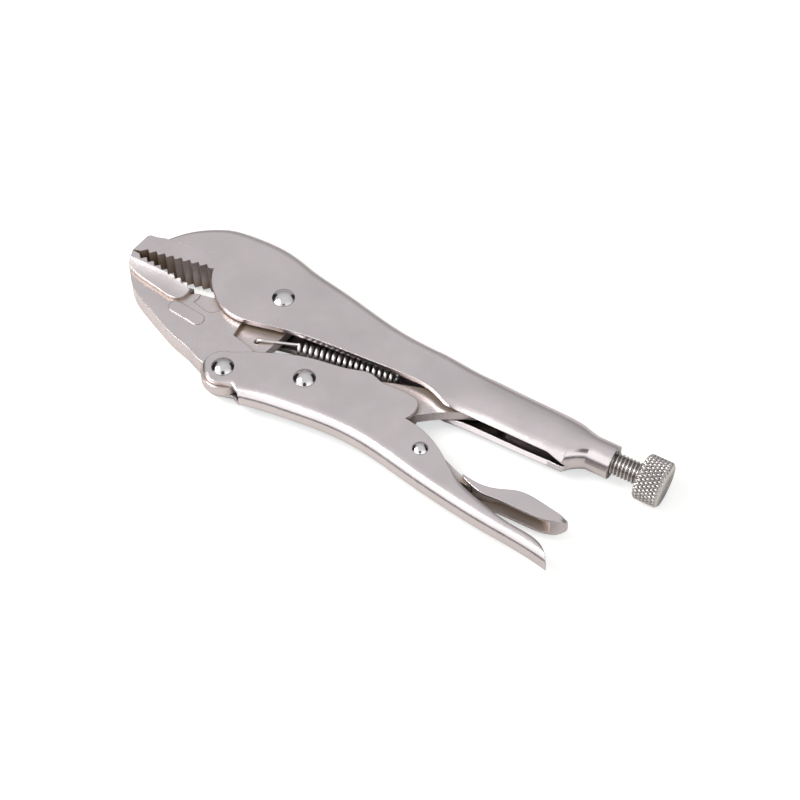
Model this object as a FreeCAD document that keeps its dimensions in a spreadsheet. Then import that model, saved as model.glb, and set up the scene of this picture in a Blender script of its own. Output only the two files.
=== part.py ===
import FreeCAD, Part
import Sketcher
import math
import os

# Locking pliers, 10 inch size, straight jaws. Millimetres.
# Every piece is drawn about the tool's middle plane (z = 0 in its own sketches), with X
# running from the jaws to the adjusting screw and Y from the moving handle to the fixed
# handle. One placement then lays the tool on its side on the ground.

V = FreeCAD.Vector
doc = FreeCAD.newDocument("locking_pliers")

# ---------------------------------------------------------------- driving dimensions
SIZES = [
    ("set_x", 12.6), ("set_y", -0.3), ("set_z", 9.8),
    ("channel_width", 16.0), ("channel_sheet", 2.6), ("tail_sheet", 2.2),
    ("slim_width", 10.2), ("slim_sheet", 2.3), ("slim_bend", 4.8), ("plate_width", 9.4),
    ("core_width", 5.0), ("play", 0.3), ("running_fit", 0.05),
    ("main_x", -67.2), ("main_y", 17.2), ("main_shank", 7.0), ("main_head", 9.8),
    ("main_dome", 1.8),
    ("ear_x", -70.6), ("ear_y", -25.0), ("toggle_x", -38.0), ("toggle_y", -13.2),
    ("trigger_x", 21.0), ("trigger_y", -20.3), ("slim_shank", 6.0), ("slim_head", 9.6),
    ("slim_dome", 2.1), ("trigger_shank", 4.2), ("trigger_head", 6.6), ("trigger_dome", 1.6),
    ("thrust_x", 38.8), ("thrust_gap", 3.8), ("axis_y", 15.7), ("ear_radius", 8.3),
    ("inner_ear", 9.5),
    ("thread_major", 9.5), ("collar_outer", 14.5), ("collar_start", 80.5),
    ("collar_end", 90.3), ("screw_tip", 43.4), ("knob_start", 102.6), ("knob_length", 10.8),
    ("knob_diameter", 19.6), ("knob_bevel", 0.8), ("spigot_diameter", 6.4),
    ("spigot_length", 6.0),
    ("tooth_pitch", 3.85), ("tooth_depth", 1.9), ("tooth_count", 8.0),
    ("coil_outer", 7.1), ("coil_wire", 1.45), ("coil_pitch", 2.6), ("coil_turns", 17.0),
    ("coil_x", -50.0), ("coil_y", 2.2), ("coil_slope", 8.6), ("hook_x", -66.6),
    ("hook_y", -5.1), ("hook_hole", 2.55), ("bed_depth", 0.4),
    ("oval_height", 0.35),
]
sheet = doc.addObject("Spreadsheet::Sheet", "sizes")
for row, (alias, value) in enumerate(SIZES, start=1):
    sheet.set(f"A{row}", alias)
    sheet.set(f"B{row}", str(value))
    sheet.setAlias(f"B{row}", alias)
doc.recompute()


def size(alias):
    return float(sheet.get(alias))


# ------------------------------------------------------------------- small helpers
def origin_plane(body, role):
    return next(item for item in body.Origin.OriginFeatures if item.Role == role)


def new_body(label):
    body = doc.addObject("PartDesign::Body", label)
    body.Label = label
    return body


def new_sketch(body, name, role="XY_Plane", lift=None):
    """Empty sketch on an origin plane, raised above it by the expression lift."""
    sketch = body.newObject("Sketcher::SketchObject", name)
    sketch.AttachmentSupport = [(origin_plane(body, role), "")]
    sketch.MapMode = "FlatFace"
    if lift:
        sketch.setExpression("AttachmentOffset.Base.z", lift)
    return sketch


def point(pair):
    return V(pair[0], pair[1], 0)


def outline(sketch, pieces):
    """Closed loop. A piece is a corner (x, y), ("arc", middle, end) or ("curve", points)."""
    start = pieces[0]
    here = start
    for piece in list(pieces[1:]) + [start]:
        if piece[0] == "arc":
            sketch.addGeometry(Part.Arc(point(here), point(piece[1]), point(piece[2])), False)
            here = piece[2]
        elif piece[0] == "curve":
            curve = Part.BSplineCurve()
            curve.interpolate([point(here)] + [point(pair) for pair in piece[1]])
            sketch.addGeometry(curve, False)
            here = piece[1][-1]
        elif math.dist(here, piece) > 1e-6:
            sketch.addGeometry(Part.LineSegment(point(here), point(piece)), False)
            here = piece


# Width of a cut that goes right through the tool in any direction.
THROUGH = "400"


def pad(body, sketch, name, width):
    feature = body.newObject("PartDesign::Pad", name)
    feature.Profile = sketch
    feature.SideType = "Symmetric"
    feature.setExpression("Length", width)
    doc.recompute()
    return feature


def pocket(body, sketch, name, width):
    before = body.Shape.Volume
    feature = body.newObject("PartDesign::Pocket", name)
    feature.Profile = sketch
    feature.SideType = "Symmetric"
    feature.setExpression("Length", width)
    doc.recompute()
    if not body.Shape.Volume < before - 0.01:
        raise RuntimeError(f"{name} cuts nothing")
    return feature


def drill(body, name, x_alias, y_alias, diameter):
    """Round hole through the whole body at a named pivot."""
    sketch = new_sketch(body, name + "_sketch")
    sketch.addGeometry(Part.Circle(V(size(x_alias), size(y_alias), 0), V(0, 0, 1), 2), False)
    place_hole(sketch, x_alias, y_alias, diameter)
    return pocket(body, sketch, name, "sizes.channel_width * 2")


def place_hole(sketch, x_alias, y_alias, diameter):
    """Tie a sketched circle to named cells for its centre and its diameter."""
    across = sketch.addConstraint(Sketcher.Constraint("DistanceX", -1, 1, 0, 3, size(x_alias)))
    upward = sketch.addConstraint(Sketcher.Constraint("DistanceY", -1, 1, 0, 3, size(y_alias)))
    around = sketch.addConstraint(Sketcher.Constraint("Diameter", 0, 4.0))
    sketch.setExpression(f"Constraints[{across}]", f"sizes.{x_alias}")
    sketch.setExpression(f"Constraints[{upward}]", f"sizes.{y_alias}")
    sketch.setExpression(f"Constraints[{around}]", diameter)


def lay_down(item):
    item.Placement = FreeCAD.Placement(V(0, 0, 0), FreeCAD.Rotation())
    for axis in "xyz":
        item.setExpression(f"Placement.Base.{axis}", f"sizes.set_{axis}")


def about(centre, radius, degrees):
    angle = math.radians(degrees)
    return (centre[0] + radius * math.cos(angle), centre[1] + radius * math.sin(angle))


MAIN = (size("main_x"), size("main_y"))
EAR = (size("ear_x"), size("ear_y"))
TOGGLE = (size("toggle_x"), size("toggle_y"))
TRIGGER = (size("trigger_x"), size("trigger_y"))
THRUST = (size("thrust_x"), size("axis_y"))


# ----------------------------------------------------------------- fixed handle
# A bent sheet channel. Each station gives X, the height of the web's outer face, the level
# and the radius of the lower corners, the outside width and the outside bend radius; the
# loft through them is the outer skin. The side walls are straight over the jaws. Along the
# tail they curl in underneath and the section turns into a squared-off oval, given by X, top,
# bottom, width and the power of the oval (2 is a true ellipse).
STRAIGHT = (-6.0, 0.5)
CHANNEL = [
    (-129.9, 21.4, *STRAIGHT, 16.0, 4.4), (-127.0, 26.2, *STRAIGHT, 16.0, 4.8),
    (-122.0, 32.3, *STRAIGHT, 16.0, 5.0), (-115.2, 37.5, *STRAIGHT, 16.0, 5.0),
    (-106.0, 41.7, *STRAIGHT, 16.0, 5.0), (-95.1, 43.0, *STRAIGHT, 16.0, 5.0),
    (-84.8, 43.1, *STRAIGHT, 16.0, 5.0), (-73.4, 41.3, *STRAIGHT, 16.0, 5.0),
    (-49.8, 35.8, *STRAIGHT, 16.0, 5.0), (-27.0, 30.8, *STRAIGHT, 16.0, 5.0),
    (-8.0, 27.8, *STRAIGHT, 16.0, 5.0), (3.0, 27.3, *STRAIGHT, 16.0, 5.2),
]
TAIL = [
    (3.0, 27.3, *STRAIGHT, 16.0, 5.2), (10.0, 27.3, -2.5, 3.0, 15.8, 5.6),
    (18.0, 26.9, 0.4, 5.6, 15.2, 6.2),
]
OVAL_TAIL = [
    (27.0, 26.6, 1.6, 14.8, 2.9), (45.0, 26.4, 1.6, 14.8, 2.5), (62.0, 26.3, 1.6, 14.8, 2.25),
    (73.0, 25.4, 2.0, 14.7, 2.15),
]
TAPER = (77.0, 23.9, 6.4, 14.6, 2.1)
# Where the eight spans of an oval meet, in degrees from the near side.
OVAL_SPANS = [-72, -28, 28, 72, 108, 152, 208, 252, 288]
# The lower rim of both side walls, from the weld line at the jaw to the end of the tail.
RIM = [
    (-98.5, 9.3), (-92.6, 3.6), (-85.3, -0.5), (-78.5, -1.5), (-68.0, 0.3), (-55.2, 3.3),
    (-41.4, 4.9), (-22.7, 6.2), (-4.2, 7.3), (5.2, 7.4), (11.0, 6.5), (16.9, 4.4),
    (22.0, 3.5), (36.0, 3.4), (55.0, 3.4), (66.0, 3.4), (72.0, 2.2), (76.0, 0.0),
]
WELD_LINE = [(-129.9, 20.2), (-108.0, 22.7), (-101.9, 16.2)]
# The slot along the tail: X, then the height of the wedge's upper edge at that X.
SLOT = [(4.0, 8.6), (66.0, 8.6), (79.0, 3.0)]


def rounded_section(x, top, bottom, width, upper_radius, lower_radius):
    """Wire in the plane X = x: a rectangle with rounded upper and lower corners."""
    half = width / 2
    corners = [
        (half, bottom, lower_radius, -90), (half, top, upper_radius, 0),
        (-half, top, upper_radius, 90), (-half, bottom, lower_radius, 180),
    ]
    arcs = []
    for z, y, radius, first in corners:
        centre = (z - math.copysign(radius, z), y + (radius if y == bottom else -radius))
        ends = [about(centre, radius, first + turn) for turn in (0, 45, 90)]
        arcs.append([V(x, pair[1], pair[0]) for pair in ends])
    edges = []
    for index, arc in enumerate(arcs):
        edges.append(Part.Arc(*arc).toShape())
        edges.append(Part.makeLine(arc[2], arcs[(index + 1) % 4][0]))
    return Part.Wire(edges)


def station_section(station, inset):
    """Outer section at a station, or the section of the inner face when inset."""
    x, top, bottom, lower_radius, width, bend = station
    lower = lower_radius - inset if lower_radius > inset + 0.3 else 0.3
    floor = bottom + inset
    return rounded_section(x, top - inset, floor, width - 2 * inset, bend - inset, lower)


def oval_section(x, top, bottom, width, power, inset):
    """Wire in the plane X = x: a squared-off oval whose spans match a rounded section's."""
    across = width / 2 - inset
    upward = (top - bottom) / 2 - inset
    middle = (top + bottom) / 2

    def spot(degrees):
        right = math.cos(math.radians(degrees))
        rise = math.sin(math.radians(degrees))
        z = across * math.copysign(abs(right) ** (2 / power), right)
        y = upward * math.copysign(abs(rise) ** (2 / power), rise)
        return V(x, middle + y, z)

    edges = []
    for first, last in zip(OVAL_SPANS, OVAL_SPANS[1:]):
        edges.append(Part.Arc(spot(first), spot((first + last) / 2), spot(last)).toShape())
    return Part.Wire(edges)


def skin(stations, inset):
    return Part.makeLoft([station_section(station, inset) for station in stations], True, False)


def tail_skin(inset):
    """Solid along the tail, from the straight walls to the last oval."""
    sections = [station_section(station, inset) for station in TAIL]
    sections += [oval_section(*station, inset) for station in OVAL_TAIL]
    return Part.makeLoft(sections, True, False)


def collar_skin(inset):
    """Solid that carries the tail's rear end into the round collar."""
    axis = size("axis_y")
    radius = size("collar_outer") / 2
    if inset:
        radius = size("thread_major") / 2 + size("running_fit")
    start = size("collar_start")
    sections = [oval_section(*OVAL_TAIL[-1], inset), oval_section(*TAPER, inset)]
    sections.append(oval_section(start, axis + radius, axis - radius, 2 * radius, 2.0, 0.0))
    taper = Part.makeLoft(sections, True, False)
    length = size("collar_end") - start
    tube = Part.makeCylinder(radius, length, V(start, axis, 0), V(1, 0, 0))
    return taper.fuse(tube)


def below_rim():
    """Everything under the rim and in front of the weld line, to be cut away."""
    rim = Part.BSplineCurve()
    rim.interpolate([point(WELD_LINE[-1])] + [point(pair) for pair in RIM])
    far = [(RIM[-1][0], -20.0), (-150.0, -20.0), (-150.0, WELD_LINE[0][1]), WELD_LINE[0]]
    corners = [point(RIM[-1])] + [point(pair) for pair in far]
    corners += [point(pair) for pair in WELD_LINE[1:]]
    edges = [rim.toShape()]
    for first, second in zip(corners, corners[1:]):
        edges.append(Part.makeLine(first, second))
    face = Part.Face(Part.Wire(Part.__sortEdges__(edges)))
    return face.extrude(V(0, 0, 40)).translated(V(0, 0, -20))


def tail_slot():
    """Wedge that opens the tail underneath and squares the sheet's curled edges."""
    wires = []
    for x, crest in SLOT:
        reach = crest + 20.0
        corners = [V(x, crest, 0), V(x, crest - reach, -reach), V(x, crest - reach, reach)]
        wires.append(Part.makePolygon(corners + corners[:1]))
    return Part.makeLoft(wires, True, True)


def make_fixed_handle():
    outer = skin(CHANNEL, 0).multiFuse([tail_skin(0), collar_skin(0)])
    sheet_front = size("channel_sheet")
    sheet_tail = size("tail_sheet")
    inner = skin(CHANNEL, sheet_front).multiFuse([tail_skin(sheet_tail), collar_skin(sheet_tail)])
    shape = outer.cut(inner).cut(below_rim()).cut(tail_slot())
    shape = shape.cut(bore(MAIN, size("main_shank"), 20))
    return shape_feature("fixed_handle", shape.removeSplitter())


def bore(centre, diameter, half_length):
    return Part.makeCylinder(diameter / 2, 2 * half_length, V(centre[0], centre[1], -half_length))


def shape_feature(label, shape):
    item = doc.addObject("Part::Feature", label)
    item.Label = label
    item.Shape = shape
    lay_down(item)
    return item


# ------------------------------------------------------------------- upper jaw
def tooth_row(start, slope, bow, rises):
    """Sharp teeth along a bowed line: a list of corners, starting and ending on tips."""
    pitch = size("tooth_pitch")
    corners = []
    for index in range(2 * int(size("tooth_count")) + 1):
        run = index * pitch / 2
        groove = rises * size("tooth_depth") if index % 2 else 0.0
        corners.append((start[0] + run, start[1] + slope * run + bow * run * run + groove))
    return corners


UPPER_TEETH = tooth_row((-134.9, 8.9), 0.207, 0.0, 1)
TONGUE = [
    (-127.2, 21.3), (-123.6, 26.4), (-118.5, 31.6), (-110.0, 36.6), (-98.0, 39.4), (-88.0, 39.4),
    (-86.0, 33.0), (-92.0, 23.0), (-101.9, 16.2), (-108.0, 22.7),
]
NOSE = [(-137.6, 16.6), ("arc", (-137.0, 18.1), (-135.5, 18.7)), (-133.4, 19.0)]


def make_upper_jaw():
    body = new_body("upper_jaw")
    head = new_sketch(body, "upper_head_outline")
    outline(head, [(-138.5, 7.8)] + NOSE + WELD_LINE + UPPER_TEETH[::-1])
    pad(body, head, "upper_head", "sizes.channel_width")
    tongue = new_sketch(body, "upper_tongue_outline")
    outline(tongue, TONGUE)
    pad(body, tongue, "upper_tongue", "sizes.channel_width - 2 * sizes.channel_sheet")
    return body


# ------------------------------------------------------------------- lower jaw
LOWER_TEETH = tooth_row((-134.65, 7.2), -0.04, -0.0028, -1)
BELLY = [
    (-82.5, -26.4), (-88.7, -23.9), (-97.0, -21.6), (-107.1, -17.8), (-117.6, -13.1),
    (-127.5, -7.9), (-133.2, -2.4), (-135.3, 0.9),
]
LOWER_NOSE = [(-137.2, 4.2), (-138.5, 7.6)]
# The head's side falls away in a hollow from the toothed edge, ends in a narrow step and
# leaves the slimmer plate: (Y, Z) at the edge, in the hollow, at the step and below it.
HOLLOW = [(4.6, 8.1), (-0.4, 6.9), (-5.6, 6.3)]
HEAD_REAR = [(-106.2, 8.1), (-103.0, 5.6), (-99.0, 5.6), (-99.0, 8.1)]
STEP_LINE = [(-135.8, 0.4), (-129.3, -2.0), (-124.9, -2.9), (-116.3, -4.3), (-110.5, -5.1)]
STEP_REAR = [(-107.3, -4.4), (-105.6, -2.4), (-104.9, 0.2), (-104.6, 2.4)]
# A shallow coined bed beside the throat and a raised oval below it, on both sides.
THROAT_BED = [
    (-100.2, 1.0), (-101.0, -1.6), ("curve", [(-95.2, -2.9), (-90.8, -2.8), (-89.0, -0.6)]),
    (-86.0, 3.6), (-92.0, 7.6), (-101.0, 5.6),
]
OVAL_ENDS = [(-106.0, -7.7), (-94.2, -8.9)]
OVAL_RADIUS = 3.0


def make_lower_jaw():
    body = new_body("lower_jaw")
    gap = size("ear_radius") + 0.12
    plate = new_sketch(body, "lower_plate_outline")
    ear_arc = ("arc", about(EAR, gap, 150), about(EAR, gap, 194))
    boss = ("arc", about(MAIN, 11, 60), about(MAIN, 11, -60))
    seam = [(-76.8, 3.0), (-76.8, -2.0), (-76.2, -8.4), about(EAR, gap + 6.6, 72), (-63.9, -11.9)]
    throat = [("curve", [(-101.0, 3.2), (-97.7, 3.9), (-94.0, 4.8)]), (-86.0, 9.0)]
    outline(plate, [(-104.4, 1.2)] + throat + [about(MAIN, 11, 135), boss] + seam + [
        about(EAR, gap, 97), ear_arc, ("curve", BELLY), (-134.0, 4.4)])
    pad(body, plate, "lower_plate", "sizes.plate_width")

    head = new_sketch(body, "lower_head_outline")
    outline(head, [LOWER_NOSE[-1]] + LOWER_TEETH + [
        STEP_REAR[-1], ("curve", STEP_REAR[-2::-1] + STEP_LINE[::-1]), ("curve", LOWER_NOSE)])
    pad(body, head, "lower_head", "sizes.channel_width")
    make_head_hollows(body)
    mark_plate(body)

    core = new_sketch(body, "lower_core_outline")
    inner = size("inner_ear")
    outline(core, [
        (-90.0, 0.0), about(MAIN, 10, 120), about(MAIN, 10, -10), (-58.5, 3.0), (-60.5, -8.0),
        about(EAR, inner, 20), ("arc", about(EAR, inner, -80), about(EAR, inner, 180)),
        (-86.0, -18.0)])
    pad(body, core, "lower_core", "sizes.core_width")
    fit = "2 * sizes.running_fit"
    drill(body, "lower_main_hole", "main_x", "main_y", f"sizes.main_shank + {fit}")
    drill(body, "lower_ear_hole", "ear_x", "ear_y", f"sizes.slim_shank + {fit}")
    drill(body, "spring_hook_hole", "hook_x", "hook_y", "sizes.hook_hole")
    return body


def make_head_hollows(body):
    """Hollows that bring the wide toothed head down towards the slimmer jaw plate."""
    edge, middle, foot = HOLLOW
    for side in (1, -1):
        word = "near" if side > 0 else "far"
        hollow = new_sketch(body, f"head_hollow_{word}_outline", "YZ_Plane")
        arc = ("arc", (middle[0], side * middle[1]), (foot[0], side * foot[1]))
        outer = [(-20.0, side * foot[1]), (-20.0, side * edge[1])]
        outline(hollow, [(edge[0], side * edge[1]), arc] + outer)
        pocket(body, hollow, f"head_hollow_{word}", THROUGH)
        rear = new_sketch(body, f"head_rear_{word}_outline", "XZ_Plane")
        outline(rear, [(x, side * z) for x, z in HEAD_REAR])
        pocket(body, rear, f"head_rear_{word}", THROUGH)


def mark_plate(body):
    """Bed beside the throat and raised oval, on the near and the far face of the plate."""
    left, right = OVAL_ENDS
    lean = math.degrees(math.atan2(right[1] - left[1], right[0] - left[0]))
    oval = [
        about(left, OVAL_RADIUS, lean + 90), about(right, OVAL_RADIUS, lean + 90),
        ("arc", about(right, OVAL_RADIUS, lean), about(right, OVAL_RADIUS, lean - 90)),
        about(left, OVAL_RADIUS, lean - 90),
        ("arc", about(left, OVAL_RADIUS, lean + 180), about(left, OVAL_RADIUS, lean + 90)),
    ]
    for word, sign in (("near", ""), ("far", "-")):
        lift = f"{sign}sizes.plate_width / 2"
        bed = new_sketch(body, f"throat_bed_{word}_outline", lift=lift)
        outline(bed, THROAT_BED)
        pocket(body, bed, f"throat_bed_{word}", "2 * sizes.bed_depth")
        raised = new_sketch(body, f"oval_{word}_outline", lift=lift)
        outline(raised, oval)
        pad(body, raised, f"oval_{word}", "2 * sizes.oval_height")


# --------------------------------------------------------------- moving handle
HANDLE_TOP = [
    (-53.7, -7.3), (-45.9, -4.2), (-37.2, -2.1), (-28.4, -0.7), (-22.0, 1.0), (-17.0, 2.5),
    (-13.0, 2.1), (-9.0, 0.9), (-5.0, 1.0), (-0.7, 1.2), (5.2, 0.9),
]
HANDLE_REAR = [(9.3, -1.4), (9.9, -5.8), (8.3, -10.2)]
HANDLE_INNER = [
    (13.3, -10.9), (18.3, -12.2), (23.0, -14.1), (28.0, -16.9), (35.7, -22.6), (44.9, -27.8),
    (54.0, -30.7), (69.2, -34.0), (78.4, -34.9), (84.0, -36.8), (87.6, -40.0), (89.6, -42.6),
]
HANDLE_BACK = [
    (76.9, -40.4), (58.2, -38.7), (38.8, -36.3), (18.5, -32.9), (4.0, -30.2), (-9.0, -28.8),
    (-21.6, -29.0), (-36.0, -30.6), (-48.7, -32.4), (-57.3, -34.4),
]


def bend_edges(shape, half_width, picks):
    """Names of the edges on the two side faces whose middle passes the given test."""
    names = []
    for index, edge in enumerate(shape.Edges, start=1):
        box = edge.BoundBox
        flat = abs(abs(box.ZMin) - half_width) < 1e-4 and box.ZLength < 1e-4
        if flat and picks(box):
            names.append(f"Edge{index}")
    return names


def make_moving_handle():
    body = new_body("moving_handle")
    radius = size("ear_radius")
    side = new_sketch(body, "handle_outline")
    ear = [about(EAR, radius, 97), (-63.9, -12.1), ("curve", HANDLE_TOP)]
    notch = [(-58.8, -32.6), (-62.4, -31.0), about(EAR, radius, -62)]
    outline(side, ear + [("curve", HANDLE_REAR)] + [("curve", HANDLE_INNER)] + [
        ("curve", HANDLE_BACK)] + notch + [("arc", about(EAR, radius, -170), ear[0])])
    plate = pad(body, side, "handle_plate", "sizes.slim_width")
    half = size("slim_width") / 2
    edges = bend_edges(plate.Shape, half, lambda box: box.XLength > 100 and box.YMax < -25)
    bend = body.newObject("PartDesign::Fillet", "handle_bend")
    bend.Base = (plate, edges)
    bend.setExpression("Radius", "sizes.slim_bend")
    doc.recompute()

    sheet_thickness = size("slim_sheet")
    floor = [(x, y + sheet_thickness) for x, y in HANDLE_BACK]
    hollow = new_sketch(body, "handle_hollow")
    outline(hollow, [
        (100.0, 20.0), (100.0, -40.4), (91.0, -40.4), ("curve", floor), (-57.3, -40.0),
        (-90.0, -40.0), (-90.0, 20.0)])
    pocket(body, hollow, "handle_channel", "sizes.slim_width - 2 * sizes.slim_sheet")
    drill(body, "handle_ear_hole", "ear_x", "ear_y", "sizes.slim_shank")
    drill(body, "handle_toggle_hole", "toggle_x", "toggle_y", "sizes.slim_shank")
    drill(body, "handle_trigger_hole", "trigger_x", "trigger_y", "sizes.trigger_shank")
    return body


# ----------------------------------------------------------------- toggle link
LINK_LOWER = [
    (29.2, 7.1), (20.5, 2.4), (15.0, -1.4), (10.2, -5.3), (4.0, -9.6), (-4.0, -12.4), (-18.0, -15.0),
    (-30.0, -17.6),
]


def make_toggle_link():
    body = new_body("toggle_link")
    lean = math.degrees(math.atan2(THRUST[1] - TOGGLE[1], THRUST[0] - TOGGLE[0]))
    tip = about(THRUST, -size("thrust_gap"), lean)
    strap = new_sketch(body, "link_outline")
    outline(strap, [
        about(TOGGLE, 6.0, lean + 90), about(tip, 4.2, lean + 90),
        ("arc", about(tip, 4.2, lean), about(tip, 4.2, lean - 75)),
        ("curve", LINK_LOWER),
        about(TOGGLE, 6.0, -62), ("arc", about(TOGGLE, 6.0, 200), about(TOGGLE, 6.0, lean + 90))])
    pad(body, strap, "link_strap", "sizes.core_width")
    drill(body, "link_hole", "toggle_x", "toggle_y", "sizes.slim_shank + 2 * sizes.running_fit")
    return body


# --------------------------------------------------------------- release lever
ARM = [
    (0.6, -14.6), (4.0, -13.4), (9.4, -13.6), (16.0, -14.6), (24.0, -16.2), (31.0, -18.2),
    (38.0, -21.0), (46.0, -23.6), (46.0, -25.2), (38.0, -24.9), (30.0, -24.0), (24.5, -24.6),
    (19.0, -24.8), (13.0, -21.0), (5.0, -18.0),
]
SPOON_TOP = [
    (41.8, -22.6), (46.5, -23.4), (50.1, -23.5), (55.1, -22.7), (59.9, -20.8), (64.6, -18.9),
    (68.5, -18.4), (72.1, -18.6), (76.9, -19.3), (81.7, -20.1), (86.9, -20.9),
]
SPOON_TIP = ("arc", (88.3, -21.3), (87.4, -22.2))
SPOON_RIM = [
    (85.4, -23.4), (82.0, -25.0), (78.0, -25.9), (72.0, -26.2), (65.0, -26.3), (58.0, -26.6),
    (53.0, -26.9), (48.0, -25.9), (43.0, -24.2),
]
SPOON_SHEET = 1.5
SPOON_WALL = 1.3
# The dish under the spoon ends in a solid tip: where its roof comes down to the rim.
DISH_END = [(74.5, -20.9), (79.0, -22.8), (83.0, -25.4)]
# The tip seen from above: a rounded nose, from the side of the spoon round to its middle.
TIP_ROUND = [(82.6, 5.2), ("arc", (86.9, 3.6), (88.6, 0.0))]


def make_release_lever():
    """A flat arm on the pivot that opens into a spoon folded from sheet."""
    body = new_body("release_lever")
    arm = new_sketch(body, "lever_arm_outline")
    outline(arm, ARM)
    pad(body, arm, "lever_arm", "sizes.core_width")
    spoon = new_sketch(body, "lever_spoon_outline")
    outline(spoon, [SPOON_TOP[0], ("curve", SPOON_TOP[1:]), SPOON_TIP, ("curve", SPOON_RIM)])
    pad(body, spoon, "lever_spoon", "sizes.slim_width")
    dish = new_sketch(body, "lever_dish_outline")
    under = [(x, y - SPOON_SHEET) for x, y in SPOON_TOP[1:7]]
    outline(dish, [(47.0, -40.0), (47.0, -25.0), under[0], ("curve", under[1:] + DISH_END),
                   (DISH_END[-1][0], -40.0)])
    pocket(body, dish, "lever_dish", f"sizes.slim_width - 2 * {SPOON_WALL}")
    round_the_tip(body)
    fit = "2 * sizes.running_fit"
    drill(body, "lever_hole", "trigger_x", "trigger_y", f"sizes.trigger_shank + {fit}")
    return body


def round_the_tip(body):
    """Trim the two corners of the spoon's tip to a rounded nose."""
    side, (_, middle, nose) = TIP_ROUND
    for word, sign in (("near", 1), ("far", -1)):
        corner = new_sketch(body, f"lever_tip_{word}_outline", "XZ_Plane")
        arc = ("arc", (middle[0], sign * middle[1]), nose)
        outline(corner, [(side[0], sign * side[1]), arc, (95.0, 0.0), (95.0, sign * side[1])])
        pocket(body, corner, f"lever_tip_{word}", THROUGH)


# --------------------------------------------------------------- screw and knob
def turned(label, profile):
    """Body of revolution about the screw axis; profile corners are (x, radius)."""
    body = new_body(label)
    sketch = new_sketch(body, label + "_profile")
    outline(sketch, profile)
    feature = body.newObject("PartDesign::Revolution", label + "_turning")
    feature.Profile = sketch
    feature.ReferenceAxis = (sketch, ["H_Axis"])
    feature.Angle = 360
    doc.recompute()
    lay_down(body)
    body.setExpression("Placement.Base.y", "sizes.set_y + sizes.axis_y")
    return body


def make_screw():
    radius = size("thread_major") / 2
    spigot = size("spigot_diameter") / 2
    tip = size("screw_tip")
    shoulder = size("knob_start") - 0.3
    end = size("knob_start") + size("spigot_length")
    return turned("adjusting_screw", [
        (tip, 0), (tip + 0.4, 2.2), (tip + 2.6, radius), (shoulder, radius), (shoulder, spigot),
        (end, spigot), (end, 0)])


def make_knob():
    radius = size("knob_diameter") / 2
    bevel = size("knob_bevel")
    start = size("knob_start")
    end = start + size("knob_length")
    hole = size("spigot_diameter") / 2 + size("running_fit")
    depth = start + size("spigot_length") + size("play")
    return turned("knurled_knob", [
        (start, hole), (start, radius - bevel), (start + bevel, radius), (end - bevel, radius),
        (end, radius - bevel), (end, 0), (depth, 0), (depth, hole)])


# ------------------------------------------------------------------------ spring
def make_spring():
    """Close-wound tension spring: a hooked leg into the lower jaw, coils, a rear leg."""
    radius = (size("coil_outer") - size("coil_wire")) / 2
    wire = size("coil_wire") / 2
    length = size("coil_pitch") * size("coil_turns")
    helix = Part.makeHelix(size("coil_pitch"), length, radius)
    circle = Part.Wire(Part.makeCircle(wire, V(radius, 0, 0), V(0, 1, 0)))
    coil = Part.Wire(helix.Edges).makePipeShell([circle], True, True)
    coil.rotate(V(0, 0, 0), V(0, 1, 0), -90)
    coil.rotate(V(0, 0, 0), V(0, 0, 1), 180 + size("coil_slope"))
    slope = math.radians(size("coil_slope"))
    along = V(math.cos(slope), math.sin(slope), 0)
    start = V(size("coil_x"), size("coil_y"), 0)
    coil.translate(start)
    top = V(0, 0, radius)
    hook = V(size("hook_x"), size("hook_y"), size("core_width") / 2 + wire + 0.7)
    front = hook_leg(start + top, hook, wire)
    rear = hook_leg(start + top + along * length, start + along * (length + 2.5), wire)
    return shape_feature("tension_spring", coil.multiFuse([front, rear]))


def hook_leg(first, second, wire):
    """Straight round wire with a ball at its first end."""
    direction = second - first
    leg = Part.makeCylinder(wire, direction.Length, first, direction)
    return leg.fuse(Part.makeSphere(wire + 0.08, first))


# ------------------------------------------------------------------------ rivets
def make_rivet(label, centre, grip, prefix):
    """Solid rivet with a shallow dome on each side of its grip."""
    shank = size(prefix + "_shank") / 2
    head = size(prefix + "_head") / 2
    dome = size(prefix + "_dome")
    half = grip / 2
    ball = (head * head + dome * dome) / (2 * dome)
    mid = math.asin(head / ball) / 2
    middle = (ball * math.sin(mid), half + dome - ball + ball * math.cos(mid))
    body = new_body(label)
    sketch = new_sketch(body, label + "_profile", "XZ_Plane")
    outline(sketch, [
        (0, -half - dome), ("arc", (middle[0], -middle[1]), (head, -half)), (shank, -half),
        (shank, half), (head, half), ("arc", middle, (0, half + dome))])
    feature = body.newObject("PartDesign::Revolution", label + "_turning")
    feature.Profile = sketch
    feature.ReferenceAxis = (sketch, ["V_Axis"])
    feature.Angle = 360
    doc.recompute()
    lay_down(body)
    body.setExpression("Placement.Base.x", f"sizes.set_x + {centre[0]}")
    body.setExpression("Placement.Base.y", f"sizes.set_y + {centre[1]}")
    return body


# ---------------------------------------------------------------------- assembly
nodes = [make_fixed_handle()]
for maker in (make_upper_jaw, make_lower_jaw, make_moving_handle, make_toggle_link,
              make_release_lever):
    item = maker()
    lay_down(item)
    nodes.append(item)
nodes += [make_screw(), make_knob(), make_spring()]
nodes.append(make_rivet("jaw_pivot_rivet", MAIN, size("channel_width"), "main"))
nodes.append(make_rivet("handle_pivot_rivet", EAR, size("slim_width"), "slim"))
nodes.append(make_rivet("link_pivot_rivet", TOGGLE, size("slim_width"), "slim"))
nodes.append(make_rivet("lever_pivot_rivet", TRIGGER, size("slim_width"), "trigger"))
doc.recompute()

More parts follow.
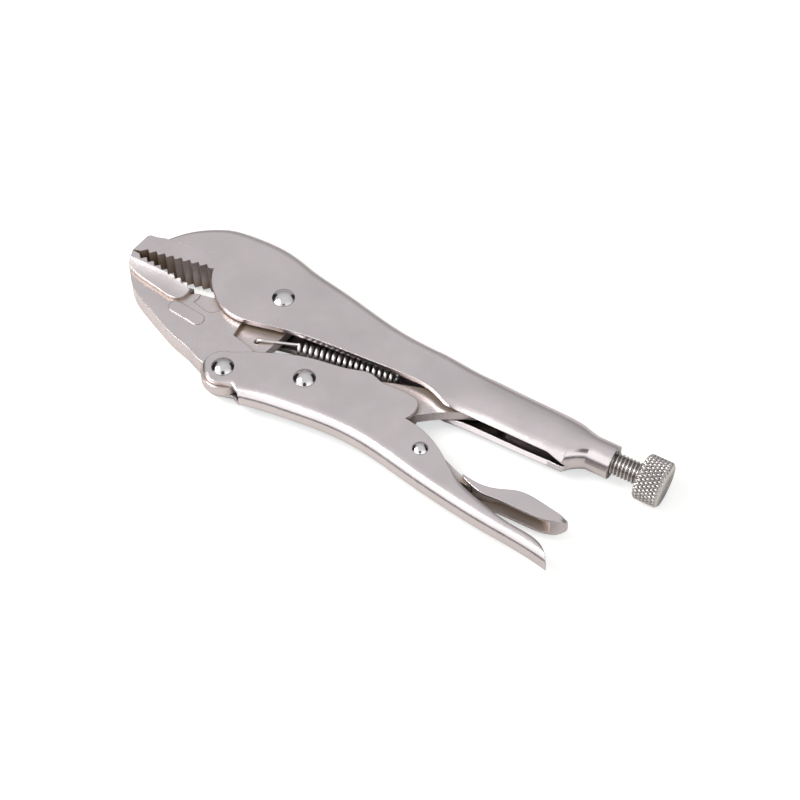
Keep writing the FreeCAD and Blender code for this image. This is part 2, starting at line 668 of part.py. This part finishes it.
for item in doc.Objects:
    if "Invalid" in item.State or "Error" in item.State:
        raise RuntimeError(f"{item.Name} failed: {item.State}")
for item in nodes:
    shape = item.Shape
    if shape.isNull() or not shape.isValid() or len(shape.Solids) != 1:
        raise RuntimeError(f"{item.Label}: {len(shape.Solids)} solids, valid {shape.isValid()}")

os.makedirs("parts", exist_ok=True)
box = FreeCAD.BoundBox()
for item in nodes:
    item.Shape.exportStep(f"parts/{item.Label}.step")
    box.add(item.Shape.BoundBox)
    print(f"{item.Label}: {item.Shape.Volume:.0f} mm3")
print("box", box)
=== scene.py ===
"""Locking pliers lying on a pale surface under soft studio light."""
import math

import bpy
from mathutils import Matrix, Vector


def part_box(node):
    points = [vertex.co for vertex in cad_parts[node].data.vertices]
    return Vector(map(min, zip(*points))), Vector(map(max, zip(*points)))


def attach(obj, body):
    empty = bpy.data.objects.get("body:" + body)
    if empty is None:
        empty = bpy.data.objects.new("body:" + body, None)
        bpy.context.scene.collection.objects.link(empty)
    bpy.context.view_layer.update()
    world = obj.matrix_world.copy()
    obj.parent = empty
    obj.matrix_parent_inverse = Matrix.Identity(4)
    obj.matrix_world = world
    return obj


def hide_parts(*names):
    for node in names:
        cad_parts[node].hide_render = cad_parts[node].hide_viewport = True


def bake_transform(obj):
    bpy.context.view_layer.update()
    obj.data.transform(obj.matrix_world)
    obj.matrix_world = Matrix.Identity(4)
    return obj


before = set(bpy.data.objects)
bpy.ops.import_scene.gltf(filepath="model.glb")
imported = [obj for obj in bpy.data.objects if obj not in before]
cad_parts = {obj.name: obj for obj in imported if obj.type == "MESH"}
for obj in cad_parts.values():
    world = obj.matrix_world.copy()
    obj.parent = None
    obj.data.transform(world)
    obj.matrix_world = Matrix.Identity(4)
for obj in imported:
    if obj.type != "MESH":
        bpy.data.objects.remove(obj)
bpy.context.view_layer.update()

# The drawing frame of the part: millimetres about the tool's middle plane, tied to the
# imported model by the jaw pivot.
JAW_PIVOT = (-67.2, 17.2)


def middle(node):
    low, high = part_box(node)
    return (Vector(low) + Vector(high)) / 2


MID = middle("jaw_pivot_rivet") - Vector((JAW_PIVOT[0], JAW_PIVOT[1], 0.0)) / 1000


def at(x, y, z=0.0):
    return MID + Vector((x, y, z)) / 1000


def half_size(node, axis):
    low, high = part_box(node)
    return (high[axis] - low[axis]) / 2


# ------------------------------------------------------------------ materials
def new_material(name):
    material = bpy.data.materials.new(name)
    material.use_nodes = True
    return material, material.node_tree


def noise(tree, place, scale, detail=4.0, rough=0.5):
    node = tree.nodes.new("ShaderNodeTexNoise")
    node.inputs["Scale"].default_value = scale
    node.inputs["Detail"].default_value = detail
    node.inputs["Roughness"].default_value = rough
    tree.links.new(place, node.inputs["Vector"])
    return node.outputs["Fac"]


def remap(tree, value, low, high, to_low, to_high):
    node = tree.nodes.new("ShaderNodeMapRange")
    node.inputs["From Min"].default_value = low
    node.inputs["From Max"].default_value = high
    node.inputs["To Min"].default_value = to_low
    node.inputs["To Max"].default_value = to_high
    tree.links.new(value, node.inputs["Value"])
    return node.outputs["Result"]


def mix_colour(tree, factor, first, second):
    """Mix of two colours; each may be an output socket or a plain colour."""
    node = tree.nodes.new("ShaderNodeMix")
    node.data_type = "RGBA"
    tree.links.new(factor, node.inputs["Factor"])
    for socket, colour in (("A", first), ("B", second)):
        target = next(s for s in node.inputs if s.name == socket and s.type == "RGBA")
        if isinstance(colour, tuple):
            target.default_value = (*colour, 1)
        else:
            tree.links.new(colour, target)
    return next(s for s in node.outputs if s.type == "RGBA")


def maths(tree, operation, first, second):
    node = tree.nodes.new("ShaderNodeMath")
    node.operation = operation
    for slot, value in enumerate((first, second)):
        if isinstance(value, float):
            node.inputs[slot].default_value = value
        else:
            tree.links.new(value, node.inputs[slot])
    return node.outputs["Value"]


# Painted shade, mixed into the colour where corners and channels close over a surface:
# near-black on most pieces, brown on the forged pieces and the lever.
BLACK_SHADE = (0.020, 0.014, 0.010)
BROWN_SHADE = (0.30, 0.21, 0.14)

# How far an edge is rounded, in metres: a crisp one, and one that is too small to see.
CRISP_EDGE = 0.00045
NO_EDGE = 0.00002


def place_along(tree, place, axis):
    node = tree.nodes.new("ShaderNodeSeparateXYZ")
    tree.links.new(place, node.inputs["Vector"])
    return node.outputs[axis]


# The end of the weld, and the run in metres over which the fixed handle's edge comes back.
WELD_END = at(-101.0, 0.0)
WELD_FADE = 0.008


def weld_edge(tree, place, edge):
    """No edge to see where the fixed handle is welded flush to the upper jaw."""
    run = place_along(tree, place, "X")
    return remap(tree, run, WELD_END.x, WELD_END.x + WELD_FADE, NO_EDGE, edge)


# The moving handle's back as two slopes on either side of its middle. SOFT_EDGE is the widest
# softening of the bend beside it, and SOFT_START and SOFT_STOP are the heights above the back
# over which that comes and goes, in metres.
HANDLE_BACK_MIDDLE = at(-9.0, -28.8)
HANDLE_BACK_RISE = 0.116
HANDLE_BACK_FALL = -0.140
SOFT_EDGE = 0.0032
SOFT_START = (0.0028, 0.0055)
SOFT_STOP = (0.0075, 0.0115)


def pressed_edge(tree, place, edge):
    """The moving handle's back was drawn over a die: its bend fades softly into the sides."""
    run = maths(tree, "SUBTRACT", place_along(tree, place, "X"), HANDLE_BACK_MIDDLE.x)
    back = maths(tree, "MINIMUM", maths(tree, "MULTIPLY", run, HANDLE_BACK_RISE),
                 maths(tree, "MULTIPLY", run, HANDLE_BACK_FALL))
    level = maths(tree, "SUBTRACT", place_along(tree, place, "Y"), HANDLE_BACK_MIDDLE.y)
    above = maths(tree, "SUBTRACT", level, back)
    fade_in = remap(tree, above, *SOFT_START, edge / SOFT_EDGE, 1.0)
    fade_out = remap(tree, above, *SOFT_STOP, 1.0, edge / SOFT_EDGE)
    return maths(tree, "MULTIPLY", maths(tree, "MINIMUM", fade_in, fade_out), SOFT_EDGE)


def plated(name, colour, rough, edge, reach, shade_span, grain, shade_colour=BLACK_SHADE, vary_edge=None):
    """Plated steel. edge is the rounding of crisp edges and reach how far painted shade spreads
    out of corners and channels, both in metres. The shade span is the span of openness over
    which that shade clears, grain the strength of the fine relief, and vary_edge makes the
    rounding depend on the place."""
    material, tree = new_material(name)
    shader = tree.nodes["Principled BSDF"]
    shader.inputs["Metallic"].default_value = 1.0
    place = tree.nodes.new("ShaderNodeTexCoord").outputs["Object"]

    cloud = noise(tree, place, 45.0, 5.0, 0.6)
    speck = noise(tree, place, 700.0, 3.0, 0.5)
    darker = tuple(part * 0.93 for part in colour)
    lighter = tuple(min(1.0, part * 1.05) for part in colour)
    tint = mix_colour(tree, remap(tree, cloud, 0.3, 0.7, 0.0, 1.0), darker, lighter)

    # Painted shade: ambient occlusion mixes the shade colour into the base colour in corners and
    # channels, and with the brown shade it also lowers the metallic there.
    shade = tree.nodes.new("ShaderNodeAmbientOcclusion")
    shade.samples = 12
    shade.inputs["Distance"].default_value = reach
    open_sky = remap(tree, shade.outputs["AO"], shade_span[0], shade_span[1], 0.0, 1.0)
    tree.links.new(mix_colour(tree, open_sky, shade_colour, tint), shader.inputs["Base Color"])
    if shade_colour is BROWN_SHADE:
        metal_where_open = remap(tree, open_sky, 0.0, 1.0, 0.3, 1.0)
        tree.links.new(metal_where_open, shader.inputs["Metallic"])

    mottle = maths(tree, "ADD", remap(tree, cloud, 0.25, 0.75, rough - 0.04, rough + 0.05),
                   remap(tree, speck, 0.3, 0.7, -0.02, 0.02))
    closed = remap(tree, open_sky, 0.0, 1.0, 0.25, 0.0)
    tree.links.new(maths(tree, "ADD", mottle, closed), shader.inputs["Roughness"])

    rounded = tree.nodes.new("ShaderNodeBevel")
    rounded.samples = 6
    rounded.inputs["Radius"].default_value = edge
    if vary_edge:
        tree.links.new(vary_edge(tree, place, edge), rounded.inputs["Radius"])
    relief = tree.nodes.new("ShaderNodeBump")
    relief.inputs["Strength"].default_value = grain
    relief.inputs["Distance"].default_value = 0.0001
    dents = maths(tree, "ADD", noise(tree, place, 260.0, 4.0, 0.55), speck)
    tree.links.new(dents, relief.inputs["Height"])
    tree.links.new(rounded.outputs["Normal"], relief.inputs["Normal"])
    tree.links.new(relief.outputs["Normal"], shader.inputs["Normal"])
    return material


NICKEL = (0.80, 0.735, 0.75)
CHANNEL_REACH = 0.009


def sheet(name, shade_colour=BLACK_SHADE, vary_edge=None):
    """Nickel-plated sheet, as on the handles and the lever."""
    return plated(name, NICKEL, 0.23, CRISP_EDGE, CHANNEL_REACH, (0.30, 0.85), 0.10, shade_colour,
                  vary_edge)


def forging(name, rough, edge):
    """Nickel-plated forging, coarser than the sheet, with brown painted shade in its corners."""
    return plated(name, NICKEL, rough, edge, CHANNEL_REACH, (0.35, 0.90), 0.14, BROWN_SHADE)


satin = sheet("satin_nickel", vary_edge=weld_edge)
pressed = sheet("pressed_nickel", vary_edge=pressed_edge)
# The lever's channel gets the brown painted shade.
lever = sheet("lever_nickel", BROWN_SHADE)
forged = forging("forged_nickel", 0.26, CRISP_EDGE)
welded = forging("welded_nickel", 0.29, NO_EDGE)
threaded = plated("screw_steel", (0.80, 0.755, 0.745), 0.20, 0.00015, 0.0014, (0.45, 0.95), 0.06)
knurled = plated("knurled_steel", (0.84, 0.80, 0.79), 0.20, 0.00010, 0.0014, (0.45, 0.93), 0.06)
wire = plated("spring_wire", (0.90, 0.87, 0.86), 0.30, 0.00010, 0.0030, (0.02, 0.35), 0.03)
chrome = plated("rivet_chrome", (0.86, 0.83, 0.84), 0.07, 0.00025, 0.0015, (0.25, 0.75), 0.02)

NODE_LOOKS = {
    "fixed_handle": satin, "moving_handle": pressed, "release_lever": lever,
    "upper_jaw": welded, "lower_jaw": forged, "toggle_link": forged,
}
for item_name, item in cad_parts.items():
    item.data.materials.clear()
    item.data.materials.append(NODE_LOOKS.get(item_name, threaded))


# --------------------------------------------------------------- mesh building
def add_piece(name, vertices, faces, body, material, nodes=()):
    mesh = bpy.data.meshes.new(name)
    mesh.from_pydata(vertices, [], faces)
    mesh.validate()
    mesh.shade_smooth()
    piece = bpy.data.objects.new(name, mesh)
    bpy.context.collection.objects.link(piece)
    mesh.materials.append(material)
    if body:
        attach(piece, body)
    if nodes:
        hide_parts(*nodes)
    return piece


def ring_faces(rings, count):
    """Quads between successive rings of the same number of vertices."""
    faces = []
    for ring in range(rings - 1):
        for step in range(count):
            after = (step + 1) % count
            first = ring * count
            faces.append((first + step, first + after, first + count + after,
                          first + count + step))
    return faces


def lathe(centre, profile, count):
    """Vertices and faces of a solid turned about the vertical; profile pairs are
    (height, radius) in metres and start and end on the axis."""
    up = Vector((0, 0, 1))
    vertices = []
    for height, radius in profile[1:-1]:
        for step in range(count):
            angle = 2 * math.pi * step / count
            out = Vector((-math.sin(angle), math.cos(angle), 0))
            vertices.append(centre + up * height + out * radius)
    faces = ring_faces(len(profile) - 2, count)
    ends = [len(vertices), len(vertices) + 1]
    vertices += [centre + up * profile[0][0], centre + up * profile[-1][0]]
    last = count * (len(profile) - 3)
    for step in range(count):
        after = (step + 1) % count
        faces.append((ends[0], after, step))
        faces.append((ends[1], last + step, last + after))
    return vertices, faces


# The end of a wire: how far it reaches past its path and how wide it is there, as shares
# of the wire's radius.
END_REACH = 0.7
END_WIDTH = 0.35


def sweep(path, radius, count=10):
    """Round wire along a list of points, with closed tapered ends."""
    vertices = []
    forward = (path[1] - path[0]).normalized()
    side = forward.orthogonal().normalized()
    stations = [(path[0], END_WIDTH), *((spot, 1.0) for spot in path), (path[-1], END_WIDTH)]
    last = len(path) - 1
    for index, (spot, grow) in enumerate(stations):
        here = min(max(index - 1, 0), last)
        forward = (path[min(here + 1, last)] - path[max(here - 1, 0)]).normalized()
        side = (side - forward * side.dot(forward)).normalized()
        other = forward.cross(side)
        shift = 0.0
        if index == 0:
            shift = -END_REACH * radius
        elif index == len(stations) - 1:
            shift = END_REACH * radius
        for step in range(count):
            angle = 2 * math.pi * step / count
            out = side * math.cos(angle) + other * math.sin(angle)
            vertices.append(spot + forward * shift + out * radius * grow)
    faces = ring_faces(len(stations), count)
    faces.append(tuple(reversed(range(count))))
    faces.append(tuple(range(len(vertices) - count, len(vertices))))
    return vertices, faces


def smooth_path(points, per_span=8):
    """Catmull-Rom curve through the points."""
    padded = [points[0], *points, points[-1]]
    path = []
    for index in range(1, len(padded) - 2):
        before, start, end, after = padded[index - 1:index + 3]
        for step in range(per_span):
            t = step / per_span
            path.append(0.5 * (2 * start + (end - before) * t
                               + (2 * before - 5 * start + 4 * end - after) * t * t
                               + (3 * start - before - 3 * end + after) * t * t * t))
    path.append(points[-1])
    return path


# -------------------------------------------------------------- screw and knob
# The thread's pitch and depth in metres and how steeply it rises to its flat crests. The
# screw's tip widens over TIP_LENGTH metres from TIP_WIDTH, a share of the full radius.
THREAD_PITCH = 0.0254 / 16
THREAD_DEPTH = 0.00088
THREAD_STEEPNESS = 1.25
TIP_LENGTH = 0.0026
TIP_WIDTH = 0.55
ROWS_PER_PITCH = 8
STEPS_ROUND = 56


def saw(value):
    """0 on whole numbers, 1 half way between them."""
    return 1 - abs(2 * (value % 1.0) - 1)


def surface_of_turns(centre, start, rows, row_step, count, radius_at):
    """Tube along +X whose radius depends on the place along it and round it."""
    vertices = []
    for row in range(rows):
        x = start + row * row_step
        for step in range(count):
            angle = 2 * math.pi * step / count
            radius = radius_at(x, angle)
            vertices.append(Vector((x, centre.y + radius * math.cos(angle),
                                    centre.z + radius * math.sin(angle))))
    faces = ring_faces(rows, count)
    faces.append(tuple(reversed(range(count))))
    faces.append(tuple(range(len(vertices) - count, len(vertices))))
    return vertices, faces


def make_screw():
    low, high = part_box("adjusting_screw")
    centre = middle("adjusting_screw")
    major = (high[1] - low[1]) / 2
    into_knob = 0.0005
    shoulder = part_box("knurled_knob")[0][0] + into_knob
    row_step = THREAD_PITCH / ROWS_PER_PITCH
    rows = int((shoulder - low[0]) / row_step) + 1

    def radius_at(x, angle):
        turn = x / THREAD_PITCH - angle / (2 * math.pi)
        crest = min(1.0, saw(turn) * THREAD_STEEPNESS)
        tip = min(1.0, (x - low[0]) / TIP_LENGTH + TIP_WIDTH)
        return (major - THREAD_DEPTH * (1 - crest)) * tip

    vertices, faces = surface_of_turns(centre, low[0], rows, row_step, STEPS_ROUND,
                                       radius_at)
    add_piece("threaded_screw", vertices, faces, "adjusting_screw", threaded,
              ["adjusting_screw"])


# Count of knurls round the knob, the run of one knurl along it and their depth in metres, and
# how steeply they rise to their flat crests.
KNURLS_ROUND = 34
KNURL_LEAD = 0.0031
KNURL_DEPTH = 0.00068
KNURL_STEEPNESS = 1.9
KNOB_BEVEL = 0.0009
KNOB_ROWS = 76
STEPS_PER_KNURL = 10


def make_knob():
    low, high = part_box("knurled_knob")
    centre = middle("knurled_knob")
    outer = (high[1] - low[1]) / 2
    row_step = (high[0] - low[0]) / (KNOB_ROWS - 1)

    def radius_at(x, angle):
        round_turn = KNURLS_ROUND * angle / (2 * math.pi)
        along = (x - low[0]) / KNURL_LEAD
        height = min(saw(round_turn + along), saw(round_turn - along))
        from_end = min(x - low[0], high[0] - x)
        drop = max(0.0, KNOB_BEVEL - from_end)
        fade = min(1.0, from_end / KNOB_BEVEL)
        groove = 1 - min(1.0, KNURL_STEEPNESS * height)
        return outer - drop - KNURL_DEPTH * fade * groove

    vertices, faces = surface_of_turns(centre, low[0], KNOB_ROWS, row_step,
                                       KNURLS_ROUND * STEPS_PER_KNURL, radius_at)
    add_piece("knurled_grip", vertices, faces, "knurled_knob", knurled,
              ["knurled_knob"])


# ------------------------------------------------------------------------ spring
# The spring in millimetres of the drawing frame.
COIL_START = (-50.0, 2.2)
COIL_SLOPE = math.radians(8.6)
COIL_RADIUS = 2.825
COIL_PITCH = 2.6
COIL_TURNS = 17
WIRE_RADIUS = 0.725
HOOK = (-66.6, -5.1)
HOOK_LEVEL = 3.55
TURN_STEPS = 28


def coil_point(turn):
    run = COIL_PITCH * turn
    angle = 2 * math.pi * turn
    sideways = COIL_RADIUS * math.sin(angle)
    x = COIL_START[0] + run * math.cos(COIL_SLOPE) + sideways * math.sin(COIL_SLOPE)
    y = COIL_START[1] + run * math.sin(COIL_SLOPE) - sideways * math.cos(COIL_SLOPE)
    return at(x, y, COIL_RADIUS * math.cos(angle))


def make_spring():
    turns = [coil_point(step / TURN_STEPS) for step in range(COIL_TURNS * TURN_STEPS + 1)]
    vertices, faces = sweep(turns, WIRE_RADIUS / 1000)
    add_piece("spring_coils", vertices, faces, "fixed_handle", wire,
              ["tension_spring"])
    leg = smooth_path([
        coil_point(0.0), at(-52.0, 1.3, 2.75), at(-57.0, -0.9, 3.0), at(-62.0, -3.1, 3.3),
        at(-65.3, -4.5, HOOK_LEVEL), at(HOOK[0], HOOK[1], 2.6), at(HOOK[0], HOOK[1], -1.0)])
    vertices, faces = sweep(leg, WIRE_RADIUS / 1000)
    hook = add_piece("spring_hook", vertices, faces, None, wire)
    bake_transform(hook)


# ------------------------------------------------------------------------ rivets
# A rivet's dome stops short of its rim at this share of its sweep and rolls over a low lip.
# The lip and the shank are shares of the head's radius.
DOME_SHARE = 0.93
DOME_STEPS = 14
LIP_HEIGHT = 0.00012
LIP_TOP = 0.992
LIP_FOOT = 0.985
SHANK_SHARE = 0.62


def make_rivet(name, node, body, dome, count=72):
    """Polished dome of the given height with a rolled edge, above and below its shank."""
    head = half_size(node, 0)
    top = half_size(node, 2)
    base = top - dome
    ball = (head * head + dome * dome) / (2 * dome)
    reach = math.asin(head / ball)
    profile = [(-top, 0.0)]
    for step in range(1, DOME_STEPS + 1):
        angle = reach * DOME_SHARE * step / DOME_STEPS
        profile.append((-(top - ball + ball * math.cos(angle)), ball * math.sin(angle)))
    profile.append((-(base + LIP_HEIGHT), head * LIP_TOP))
    profile.append((-base, head * LIP_FOOT))
    profile += [(-base, head * SHANK_SHARE), (base, head * SHANK_SHARE)]
    profile += [(-height, radius) for height, radius in reversed(profile[1:-2])]
    profile.append((top, 0.0))
    vertices, faces = lathe(middle(node), profile, count)
    add_piece(name, vertices, faces, body, chrome, [node])


def make_rivets():
    make_rivet("jaw_rivet", "jaw_pivot_rivet", "fixed_handle", 0.0018)
    make_rivet("ear_rivet", "handle_pivot_rivet", "moving_handle", 0.0021)
    make_rivet("link_rivet", "link_pivot_rivet", "moving_handle", 0.0021)
    make_rivet("lever_rivet", "lever_pivot_rivet", "moving_handle", 0.0016)


# ----------------------------------------------------------- floor, light, camera
def make_floor():
    bpy.ops.mesh.primitive_plane_add(size=8.0, location=(0, 0, 0))
    floor = bpy.context.object
    floor.name = "floor"
    material, tree = new_material("pale_floor")
    shader = tree.nodes["Principled BSDF"]
    shader.inputs["Base Color"].default_value = (0.68, 0.66, 0.625, 1)
    shader.inputs["Roughness"].default_value = 0.75
    # Lifts the floor itself to white without brightening what the metal mirrors of it.
    seen = tree.nodes.new("ShaderNodeLightPath").outputs["Is Camera Ray"]
    shader.inputs["Emission Color"].default_value = (0.96, 0.98, 1.0, 1)
    tree.links.new(remap(tree, seen, 0.0, 1.0, 0.0, 0.6), shader.inputs["Emission Strength"])
    floor.data.materials.append(material)


KEY_PLACE = Vector((-0.55, -0.35, 0.8))
KEY_SIDE = 0.5
KEY_WATTS = 7.0


def make_key_light():
    """A square soft box on the left, aimed at the middle of the tool."""
    data = bpy.data.lights.new("key", "AREA")
    data.shape = "SQUARE"
    data.size = KEY_SIDE
    data.energy = KEY_WATTS
    data.color = (1.0, 0.985, 0.97)
    lamp = bpy.data.objects.new("key", data)
    bpy.context.collection.objects.link(lamp)
    lamp.location = KEY_PLACE
    lamp.rotation_euler = (-KEY_PLACE).to_track_quat("-Z", "Y").to_euler()


# The camera's direction, its distance in metres and its lens in millimetres.
AZIMUTH = math.radians(30.0)
ELEVATION = math.radians(53.0)
DISTANCE = 0.75
LENS = 81.7
TO_CAMERA = Vector((math.sin(AZIMUTH) * math.cos(ELEVATION),
                    -math.cos(AZIMUTH) * math.cos(ELEVATION), math.sin(ELEVATION)))
TO_BACK = Vector((-math.sin(AZIMUTH), math.cos(AZIMUTH), 0.0))
TO_RIGHT = Vector((math.cos(AZIMUTH), math.sin(AZIMUTH), 0.0))


def ramp(tree, value, stops):
    node = tree.nodes.new("ShaderNodeValToRGB")
    node.color_ramp.interpolation = "EASE"
    elements = node.color_ramp.elements
    while len(elements) < len(stops):
        elements.new(0.5)
    for element, (position, grey) in zip(elements, stops):
        element.position = position
        element.color = (grey, grey, grey, 1)
    tree.links.new(value, node.inputs["Fac"])
    return node.outputs["Color"]


# The sky behind and in front of the tool: pairs of height (0 horizon, 1 overhead) and grey.
BACK_STOPS = [(0.0, 0.19), (0.3, 0.18), (0.45, 0.23), (0.72, 0.305), (1.0, 0.35)]
FRONT_STOPS = [(0.0, 0.02), (0.2, 0.03), (0.3, 0.42), (0.45, 0.64), (0.75, 0.56), (1.0, 0.35)]
STUDIO_STRENGTH = 2.0
PHOTOGRAPHER = (0.03, 0.03, 0.03)
WINGS = (0.01, 0.01, 0.01)
BACKDROP = (0.47, 0.47, 0.465)


def make_world():
    """A studio as a sky: white in front above a dark floor line, grey above and behind, dark
    low at both sides of the back, and a dark patch where the photographer stands."""
    world = bpy.data.worlds.new("studio")
    bpy.context.scene.world = world
    world.use_nodes = True
    tree = world.node_tree
    direction = tree.nodes.new("ShaderNodeTexCoord").outputs["Generated"]

    def along(vector):
        node = tree.nodes.new("ShaderNodeVectorMath")
        node.operation = "DOT_PRODUCT"
        tree.links.new(direction, node.inputs[0])
        node.inputs[1].default_value = vector
        return node.outputs["Value"]

    height = along((0, 0, 1))
    front = remap(tree, along(-TO_BACK), -0.05, 0.45, 0.0, 1.0)
    sky = mix_colour(tree, front, ramp(tree, height, BACK_STOPS),
                     ramp(tree, height, FRONT_STOPS))
    photographer = remap(tree, along(TO_CAMERA), 0.955, 0.985, 0.0, 1.0)
    sky = mix_colour(tree, photographer, sky, PHOTOGRAPHER)
    sideways = maths(tree, "ABSOLUTE", along(TO_RIGHT), 0.0)
    wide = remap(tree, sideways, 0.44, 0.56, 0.0, 1.0)
    low = remap(tree, height, 0.46, 0.62, 1.0, 0.0)
    behind = remap(tree, along(TO_BACK), -0.05, 0.10, 0.0, 1.0)
    wings = maths(tree, "MULTIPLY", maths(tree, "MULTIPLY", wide, low), behind)
    sky = mix_colour(tree, wings, sky, WINGS)
    # The camera itself sees a plain white backdrop, and every other ray meets the sky.
    seen = tree.nodes.new("ShaderNodeLightPath").outputs["Is Camera Ray"]
    sky = mix_colour(tree, seen, sky, BACKDROP)
    background = tree.nodes["Background"]
    tree.links.new(sky, background.inputs["Color"])
    background.inputs["Strength"].default_value = STUDIO_STRENGTH


def make_camera():
    data = bpy.data.cameras.new("camera")
    data.lens = LENS
    data.sensor_width = 36.0
    data.clip_start = 0.01
    camera = bpy.data.objects.new("camera", data)
    bpy.context.collection.objects.link(camera)
    camera.location = MID + TO_CAMERA * DISTANCE
    camera.rotation_euler = (-TO_CAMERA).to_track_quat("-Z", "Y").to_euler()
    bpy.context.scene.camera = camera


make_screw()
make_knob()
make_spring()
make_rivets()
make_floor()
make_world()
make_key_light()
make_camera()
bpy.context.scene.view_settings.view_transform = "Standard"
